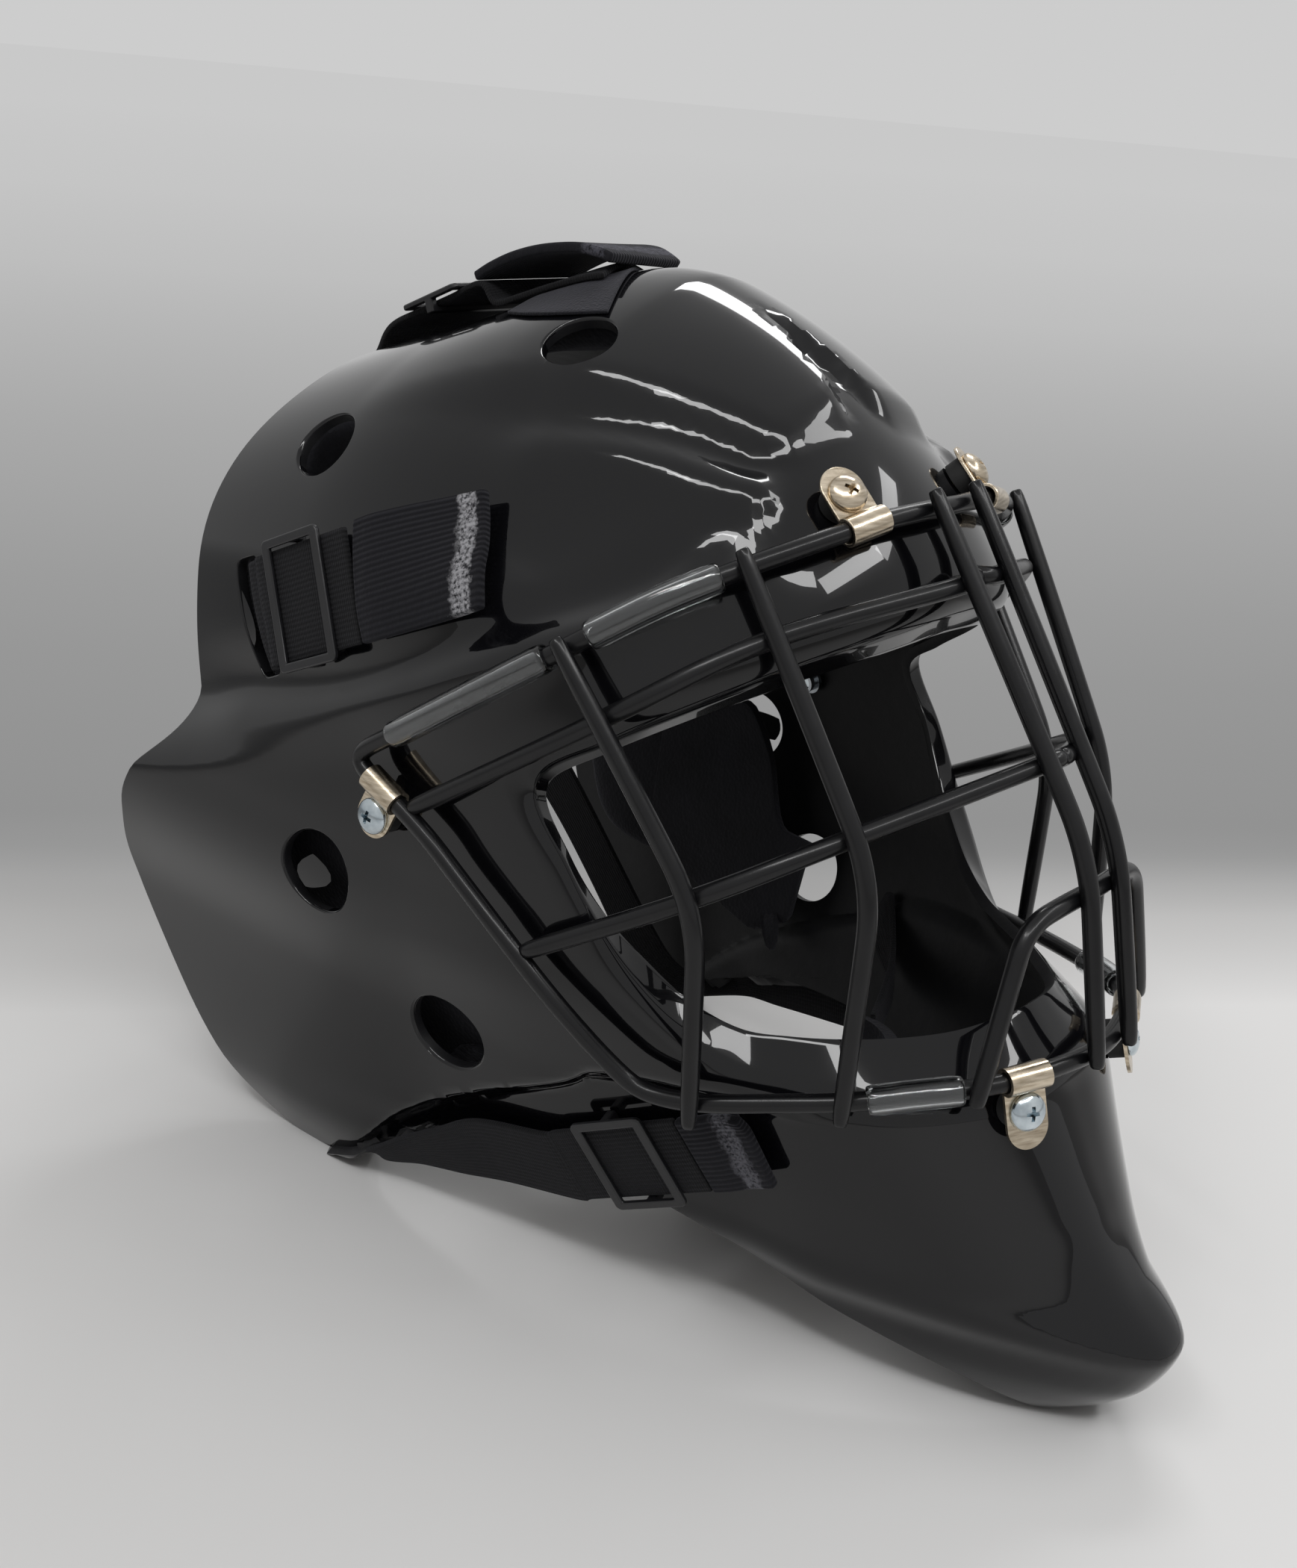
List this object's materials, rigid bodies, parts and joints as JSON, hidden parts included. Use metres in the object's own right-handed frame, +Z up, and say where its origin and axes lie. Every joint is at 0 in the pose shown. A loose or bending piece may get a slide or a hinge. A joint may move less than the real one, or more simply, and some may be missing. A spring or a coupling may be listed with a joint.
{
  "type": "hockey goalie mask",
  "caption": "Full-face goalie mask: glossy moulded shell, welded wire cage held by strip clips, and adjustable webbing straps to a padded back plate.",
  "frame": {"origin": "centre of the bounding box at its bottom face, on the surface the mask stands on", "axes": "+Z up, -Y is the way the face points, +X is the wearer's left"},
  "size_m": [0.2252, 0.3468, 0.2926],
  "materials": {
    "shell": "high-gloss black moulded shell",
    "wire": "black coated steel wire, satin gloss",
    "clip": "warm nickel plated strip",
    "screw": "bright zinc plated pan head",
    "nut": "zinc plated",
    "spacer": "black rubber",
    "sleeve": "clear flexible vinyl",
    "plate": "black satin plastic",
    "webbing": "woven black webbing",
    "tail": "brushed black fastening webbing with a grey fuzzy end",
    "slide": "black moulded plastic, slightly glossy",
    "patch": "black loop patch",
    "cup": "soft dark plastic cup",
    "foam": "charcoal fabric over foam"
  },
  "bodies": {
    "mask": {"shell": "shell", "cage_perimeter": "wire", "brow_wire": "wire", "mid_wire": "wire", "mouth_hoop": "wire", "bar_outer_r": "wire", "bar_outer_l": "wire", "bar_inner_r": "wire", "bar_inner_l": "wire", "bar_center_r": "wire", "bar_center_l": "wire", "clip_brow_r": "clip", "clip_brow_l": "clip", "clip_side_r": "clip", "clip_side_l": "clip", "clip_chin_r": "clip", "clip_chin_l": "clip", "clip_screws": "screw", "rubber_spacers": "spacer", "tee_nuts": "nut", "sleeve_side_r": "sleeve", "sleeve_side_l": "sleeve", "sleeve_brow_r": "sleeve", "sleeve_brow_l": "sleeve", "sleeve_chin_r": "sleeve", "sleeve_chin_l": "sleeve", "strap_top": "webbing", "strap_side_r": "webbing", "strap_side_l": "webbing", "strap_jaw_r": "webbing", "strap_jaw_l": "webbing", "hook_patches": "patch", "forehead_pad": "foam", "crown_pad": "foam", "temple_pad_r": "foam", "temple_pad_l": "foam", "jaw_pad_r": "foam", "jaw_pad_l": "foam", "chin_cup": "cup", "sling_r": "webbing", "sling_l": "webbing"},
    "back_plate": {"back_plate": "plate", "back_plate_pad": "foam"},
    "tail_top": {"tail_top": "tail"},
    "tail_side_r": {"tail_side_r": "tail"},
    "tail_side_l": {"tail_side_l": "tail"},
    "tail_jaw_r": {"tail_jaw_r": "tail"},
    "tail_jaw_l": {"tail_jaw_l": "tail"},
    "slide_top": {"slide_top": "slide"},
    "slide_side_r": {"slide_side_r": "slide"},
    "slide_side_l": {"slide_side_l": "slide"},
    "slide_jaw_r": {"slide_jaw_r": "slide"},
    "slide_jaw_l": {"slide_jaw_l": "slide"}
  },
  "joints": [
    {"name": "back_plate_pull", "type": "slide", "parent": "mask", "child": "back_plate", "axis": [0, 1, 0], "range_m": [0, 0.04], "stiffness_N_per_m": 200},
    {"name": "tail_top_peel", "type": "hinge", "parent": "mask", "child": "tail_top", "pos_m": [0, 0.09963, 0.27911], "axis": [-1, 0, 0], "range_deg": [0, 60]},
    {"name": "tail_side_r_peel", "type": "hinge", "parent": "mask", "child": "tail_side_r", "pos_m": [-0.09891, 0.05703, 0.20496], "axis": [-0.1921, -0.4555, -0.8693], "range_deg": [0, 70]},
    {"name": "tail_side_l_peel", "type": "hinge", "parent": "mask", "child": "tail_side_l", "pos_m": [0.09891, 0.05703, 0.20496], "axis": [-0.1921, 0.4555, 0.8693], "range_deg": [0, 70]},
    {"name": "tail_jaw_r_peel", "type": "hinge", "parent": "mask", "child": "tail_jaw_r", "pos_m": [-0.07102, -0.0577, 0.06625], "axis": [0.3095, -0.4222, -0.852], "range_deg": [0, 60]},
    {"name": "tail_jaw_l_peel", "type": "hinge", "parent": "mask", "child": "tail_jaw_l", "pos_m": [0.07102, -0.0577, 0.06625], "axis": [0.3095, 0.4222, 0.852], "range_deg": [0, 60]},
    {"name": "slide_top_adjust", "type": "slide", "parent": "mask", "child": "slide_top", "axis": [0, -0.9171, 0.3987], "range_m": [-0.006, 0.006]},
    {"name": "slide_side_r_adjust", "type": "slide", "parent": "mask", "child": "slide_side_r", "axis": [0.0448, -0.9066, 0.4196], "range_m": [-0.006, 0.006]},
    {"name": "slide_side_l_adjust", "type": "slide", "parent": "mask", "child": "slide_side_l", "axis": [-0.0448, -0.9066, 0.4196], "range_m": [-0.006, 0.006]},
    {"name": "slide_jaw_r_adjust", "type": "slide", "parent": "mask", "child": "slide_jaw_r", "axis": [0.1244, -0.8646, 0.4868], "range_m": [-0.006, 0.006]},
    {"name": "slide_jaw_l_adjust", "type": "slide", "parent": "mask", "child": "slide_jaw_l", "axis": [-0.1244, -0.8646, 0.4868], "range_m": [-0.006, 0.006]}
  ]
}
